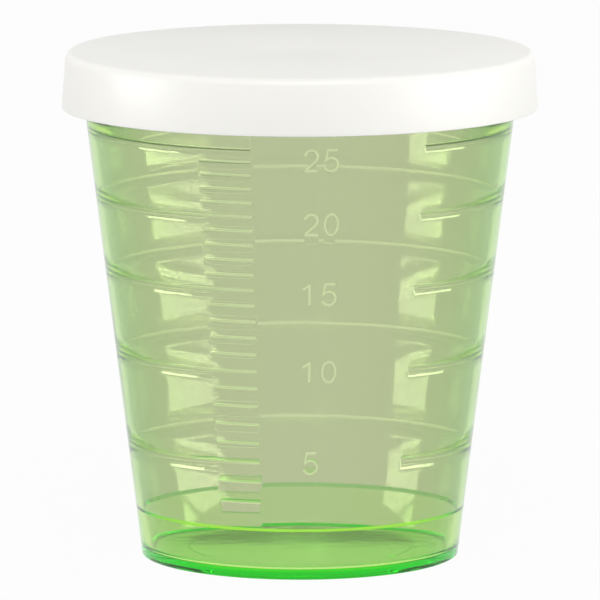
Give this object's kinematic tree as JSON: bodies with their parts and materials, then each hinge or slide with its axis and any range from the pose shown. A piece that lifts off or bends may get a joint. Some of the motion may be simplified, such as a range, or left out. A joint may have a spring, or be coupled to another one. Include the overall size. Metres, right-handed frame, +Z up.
{
  "type": "medicine cup",
  "caption": "Tapered clear green medicine cup with a raised millilitre scale and a ledge inside, and a white press-on lid that snaps under the rim.",
  "frame": {"origin": "centre of the cup's base, on the surface it stands on", "axes": "+Z up along the cup's axis; -Y is the front, where the numbered side of the scale faces; +X to the right of that front"},
  "size_m": [0.0396, 0.0396, 0.0423],
  "materials": {
    "cup": "clear green injection-moulded plastic, polished",
    "lid": "white injection-moulded plastic, satin"
  },
  "bodies": {
    "root": {"cup": "cup", "lid": "lid"}
  },
  "joints": []
}
